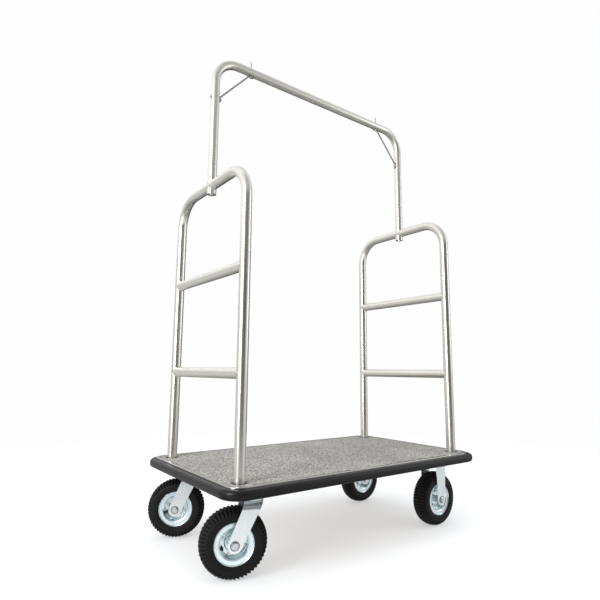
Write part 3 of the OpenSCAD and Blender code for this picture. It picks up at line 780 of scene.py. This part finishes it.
def buildCarpet(s):
    # Height over the grid: a flat pile with uneven tufts, sinking round its outline and its holes
    low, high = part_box("deck_carpet")
    halfX, halfY = high.x, high.y
    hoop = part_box("left_hoop")
    postX = (abs(hoop[0].x) + abs(hoop[1].x)) / 2
    postY = hoop[1].y - s["postHalf"]
    x, y, faces = carpetGrid(s, halfX, halfY, postX, postY)
    outline = np.minimum(halfX - np.abs(x), halfY - np.abs(y))
    cx, cy = np.abs(x) - (halfX - s["corner"]), np.abs(y) - (halfY - s["corner"])
    outline = np.where((cx > 0) & (cy > 0), s["corner"] - np.hypot(cx, cy), outline)
    fromHole = np.hypot(np.abs(x) - postX, np.abs(y) - postY) - s["hole"]
    rim = np.minimum(outline, np.maximum(fromHole, 0))
    shift = s["shift"]
    tuft = sum(valueNoise(x + shift, y + shift, cell, seed) * share for cell, seed, share in s["tufts"])
    cell, seed, height = s["slow"]
    slow = valueNoise(x + shift, y + shift, cell, seed)
    z = high.z - s["inset"] - s["pile"] * (1 - tuft) - height * slow
    z -= s["edgeDrop"] * (1 - smoothStep(0, s["edge"], rim)) ** 2
    points = np.stack([x, y, z], -1).reshape(-1, 3)
    used, back = np.unique(faces, return_inverse=True)
    o = meshObject("pile_carpet", points[used], back.reshape(-1, 4)[:, ::-1])
    closeUnder(o, low.z + s["inset"])
    return o


def closeUnder(o, under, sample=50):
    # Walls drop from the open edges to a level underside, which is then filled;
    # a sample of the faces tells whether the sheet faces up
    bm = bmesh.new()
    bm.from_mesh(o.data)
    bmesh.ops.recalc_face_normals(bm, faces=bm.faces)
    if sum(f.normal.z for f in list(bm.faces)[:sample]) < 0:
        bmesh.ops.reverse_faces(bm, faces=bm.faces)
    rimEdges = [e for e in bm.edges if e.is_boundary]
    walls = bmesh.ops.extrude_edge_only(bm, edges=rimEdges)["geom"]
    feet = [g for g in walls if isinstance(g, bmesh.types.BMVert)]
    flatten = Matrix.Translation((0, 0, under)) @ Matrix.Diagonal((1, 1, 0, 1))
    bmesh.ops.transform(bm, matrix=flatten, verts=feet)
    rimEdges = [e for e in bm.edges if e.is_boundary]
    bmesh.ops.triangle_fill(bm, use_beauty=True, use_dissolve=False, edges=rimEdges, normal=(0, 0, -1))
    bmesh.ops.recalc_face_normals(bm, faces=bm.faces)
    bm.to_mesh(o.data)
    bm.free()


def carpetMaterial(s):
    # Mottled yarn: light and dark tufts a few millimetres wide, with finer fibres over them
    m, nodes, shader = startMaterial("carpet")
    vector = objectVector(nodes)
    tuft = nodes.new("ShaderNodeTexVoronoi")
    link(nodes, vector, tuft.inputs["Vector"])
    tuft.inputs["Scale"].default_value = s["tuft"]
    yarn = noise(nodes, vector, s["yarn"], detail=2.5, rough=0.62)
    fibre = noise(nodes, vector, s["fibre"], detail=2.0, rough=0.6)
    patch = noise(nodes, vector, s["patch"], detail=3.0, rough=0.5)
    tone = weighted(nodes, (yarn, 0.75), (fibre, 0.15), (patch, 0.1))
    spread = mapped(nodes, tone, 0.0, 1.0, fromLow=0.44, fromHigh=0.56)
    colour = mixColour(nodes, spread, s["dark"], s["light"])
    rough = mapped(nodes, fibre, 0.86, 1.0)
    height = weighted(nodes, (fibre, 0.6), (tuft.outputs["Distance"], -0.8))
    finishSurface(nodes, shader, colour, rough, height, s["bump"], s["deep"])
    shader.inputs["Sheen Weight"].default_value = s["sheen"][0]
    shader.inputs["Sheen Roughness"].default_value = s["sheen"][1]
    shader.inputs["Specular IOR Level"].default_value = s["gloss"]
    return m


carpet = buildCarpet(carpetSet)
carpet.data.materials.append(carpetMaterial(carpetSet))
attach(carpet, "cart")
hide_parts("deck_carpet")
print("carpet laid")

# Welds: a rippled bead round each saddle where one tube is notched over another
weldSet = {
    "bead": 0.0021,
    "sink": 0.0006,
    "ripple": 0.00022,
    "pitch": 0.0028,
    "round": 200,
    "cross": 10,
}


def buildWeld(name, centre, out, side, cutRadius, tubeRadius, s):
    # The seam of a tube that runs out from a tube lying along side: at angle f round the first,
    # the distance out is the root of the second's radius squared less (first's radius times sin f) squared
    out, side = np.array(out, float), np.array(side, float)
    up = np.cross(out, side)
    f = 2 * np.pi * np.arange(s["round"]) / s["round"]
    reach = np.sqrt(np.maximum(tubeRadius ** 2 - (cutRadius * np.sin(f)) ** 2, 0))
    radial = np.cos(f)[:, None] * side + np.sin(f)[:, None] * up
    line = reach[:, None] * out + cutRadius * radial
    tangent = np.roll(line, -1, 0) - np.roll(line, 1, 0)
    tangent /= np.linalg.norm(tangent, axis=1, keepdims=True)
    normal = radial - (radial * tangent).sum(1, keepdims=True) * tangent
    normal /= np.linalg.norm(normal, axis=1, keepdims=True)
    other = np.cross(tangent, normal)
    g = 2 * np.pi * np.arange(s["cross"]) / s["cross"]
    count = round(2 * np.pi * cutRadius / s["pitch"])
    size = s["bead"] + s["ripple"] * np.abs(np.sin(f * count / 2))
    line = line - normal * s["sink"] - out * s["sink"]
    section = np.cos(g)[None, :, None] * normal[:, None] + np.sin(g)[None, :, None] * other[:, None]
    p = line[:, None] + size[:, None, None] * section
    p = p + np.array(centre, float)
    o = meshObject(name, p.reshape(-1, 3), gridFaces(*p.shape[:2], True, True))
    fixNormals(o)
    o.data.materials.append(materials["weldSteel"])
    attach(o, "cart")


low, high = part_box("left_lower_bar")
tubeRadius = (high.x - low.x) / 2
low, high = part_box("garment_rail")
railRadius = (high.y - low.y) / 2
for hoop in ("left", "right"):
    low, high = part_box(f"{hoop}_hoop")
    x = (low.x + high.x) / 2
    topZ = high.z - tubeRadius
    for level in ("lower", "upper"):
        barLow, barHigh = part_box(f"{hoop}_{level}_bar")
        z = (barLow.z + barHigh.z) / 2
        for end, side in (("front", -1), ("back", 1)):
            place = (x, side * (high.y - tubeRadius), z)
            buildWeld(f"weld_{hoop}_{level}_{end}", place, (0, -side, 0), (0, 0, 1),
                      tubeRadius, tubeRadius, weldSet)
    for end, up in (("leg", 1), ("stub", -1)):
        buildWeld(f"weld_{hoop}_rail_{end}", (x, 0, topZ), (0, 0, up), (0, 1, 0),
                  railRadius, tubeRadius, weldSet)
print("welds run")

# Rings: a section carried round an axis
ringSet = {
    "around": 64,
    # Painted shade: a black ring in each carpet hole stands for the shadowed gap round an upright
    "postShadeRing": {"inner": 0.0193, "outer": 0.0247, "tall": 0.0031, "edge": 0.0012},
    # Painted shade: the axle ring is a dark washer standing for the shadowed gap round each axle head
    "axleRing": {"inner": 0.0122, "outer": 0.0149, "tall": 0.0011, "edge": 0.0005},
    "legFace": 0.0435,  # from the wheel's middle to a fork leg's outer face
    "lift": 0.0001,
}


def ringSurface(centre, axis, s, around):
    # Closed section with two rounded upper corners, each point turned about the axis through the centre
    axis = np.array(axis, float) / np.linalg.norm(axis)
    side = np.cross(axis, (0.3, 0.5, 0.81))  # any direction that no axis here points in
    side /= np.linalg.norm(side)
    other = np.cross(axis, side)
    q = np.linspace(0, np.pi / 2, 6)
    e = s["edge"]
    outer, inner, tall = s["outer"], s["inner"], s["tall"]
    r = np.concatenate([[outer], outer - e + e * np.cos(q), inner + e - e * np.sin(q), [inner]])
    h = np.concatenate([[0], tall - e + e * np.sin(q), tall - e + e * np.cos(q), [0]])
    a = 2 * np.pi * np.arange(around) / around
    spoke = np.cos(a)[:, None] * side + np.sin(a)[:, None] * other
    return np.array(centre, float) + r[None, :, None] * spoke[:, None] + h[None, :, None] * axis


def ringPiece(name, places, s, around, finish, body):
    # Several rings made one mesh
    sheets = [ringSurface(c, axis, s, around) for c, axis in places]
    rows, cols = sheets[0].shape[:2]
    faces = gridFaces(rows, cols, True, True)
    points = np.concatenate([p.reshape(-1, 3) for p in sheets])
    faces = np.concatenate([faces + i * rows * cols for i in range(len(sheets))])
    o = meshObject(name, points, faces)
    fixNormals(o)
    o.data.materials.append(materials[finish])
    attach(o, body)


def casterBody(which):
    # The left casters' forks swivel, and the right ones are fixed to the cart
    return f"{which}_swivel" if which.startswith("left") else "cart"


low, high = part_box("right_hoop")
postX = (low.x + high.x) / 2
postY = high.y - tubeRadius
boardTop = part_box("deck_board")[1].z + ringSet["lift"]
posts = [((sideX * postX, sideY * postY, boardTop), (0, 0, 1)) for sideX in (-1, 1) for sideY in (-1, 1)]
# Painted shade: a black ring in each carpet hole round an upright stands for the shadowed gap there
ringPiece("post_shade_rings", posts, ringSet["postShadeRing"], ringSet["around"], "bumperRubber",
          "cart")
# Painted shade: a dark ring on each fork leg's outer face round the axle stands for the shadowed gap round
# the axle head
for which in wheels:
    centre, axis = wheelPlace(which)[:2]
    legs = [(centre + axis * side * ringSet["legFace"], axis * side) for side in (-1, 1)]
    ringPiece(f"{which}_axle_shade_rings", legs, ringSet["axleRing"], ringSet["around"], "paintedGapShade",
              casterBody(which))
print("rings fitted")

# Forks: the sheet's cut edges rounded over
forkSet = {
    "round": 0.0009,
    "segments": 2,
    "limit": 35,  # degrees, past which an edge is sharp
    "flat": 1.0,  # degrees, under which faces are joined
    "merge": 2e-6,
}


def roundedFork(which, s):
    # The frame's fork with flat faces joined, then a small round carried along every sharp edge
    mesh = frame["nodes"][f"{which}_fork"].data.copy()
    bm = bmesh.new()
    bm.from_mesh(mesh)
    bmesh.ops.remove_doubles(bm, verts=bm.verts, dist=s["merge"])
    bmesh.ops.dissolve_limit(bm, angle_limit=math.radians(s["flat"]), verts=bm.verts, edges=bm.edges)
    bmesh.ops.recalc_face_normals(bm, faces=bm.faces)
    bm.to_mesh(mesh)
    bm.free()
    mesh.polygons.foreach_set("use_smooth", np.ones(len(mesh.polygons), bool))
    mesh.set_sharp_from_angle(angle=math.radians(s["limit"]))
    o = bpy.data.objects.new(f"{which}_rounded_fork", mesh)
    scene.collection.objects.link(o)
    bevel = o.modifiers.new("edges", "BEVEL")
    bevel.width = s["round"]
    bevel.segments = s["segments"]
    bevel.limit_method = "ANGLE"
    bevel.angle_limit = math.radians(s["limit"])
    o.modifiers.new("faces", "WEIGHTED_NORMAL").keep_sharp = True
    mesh.materials.clear()
    mesh.materials.append(materials["zincFork"])
    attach(o, casterBody(which))
    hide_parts(f"{which}_fork")


for which in wheels:
    roundedFork(which, forkSet)
print("forks rounded")

# Floor
floorSet = {
    "radius": 3.4,
    "fades": 1.5,
    "rings": 18,
    "around": 96,
    "middle": (0.001, 0.2),  # radius of the two innermost rings
    "pale": (0.565, 0.574, 0.583),
    "light": (0.60, 0.609, 0.618),
    "mottle": 6.0,
    "rough": 0.8,
    "glow": 0.46,
    "glowColour": (0.985, 0.99, 1.0),
}


def buildFloor(s):
    # A disc: rings of points at growing radius round the middle, clear towards its rim
    first, second = s["middle"]
    rings, around = s["rings"], s["around"]
    r = np.append(first, np.linspace(second, s["radius"], rings - 1))
    a = 2 * np.pi * np.arange(around) / around
    p = np.stack([np.outer(r, np.cos(a)), np.outer(r, np.sin(a)), np.zeros((rings, around))], -1)
    o = meshObject("floor", p.reshape(-1, 3), gridFaces(rings, around, False, True), False)
    m, nodes, shader = startMaterial("paleFloor")
    vector = objectVector(nodes)
    mottle = noise(nodes, vector, s["mottle"])
    link(nodes, mixColour(nodes, mottle, s["pale"], s["light"]), shader.inputs["Base Color"])
    far = vectorMath(nodes, "LENGTH", vector).outputs["Value"]
    link(nodes, softRamp(nodes, far, s["fades"], s["radius"], 0.0, bottom=1.0), shader.inputs["Alpha"])
    shader.inputs["Roughness"].default_value = s["rough"]
    shader.inputs["Specular IOR Level"].default_value = 0.0
    shader.inputs["Emission Color"].default_value = (*s["glowColour"], 1)
    shader.inputs["Emission Strength"].default_value = s["glow"]
    o.data.materials.append(m)
    o.visible_glossy = False


buildFloor(floorSet)
print("floor laid")
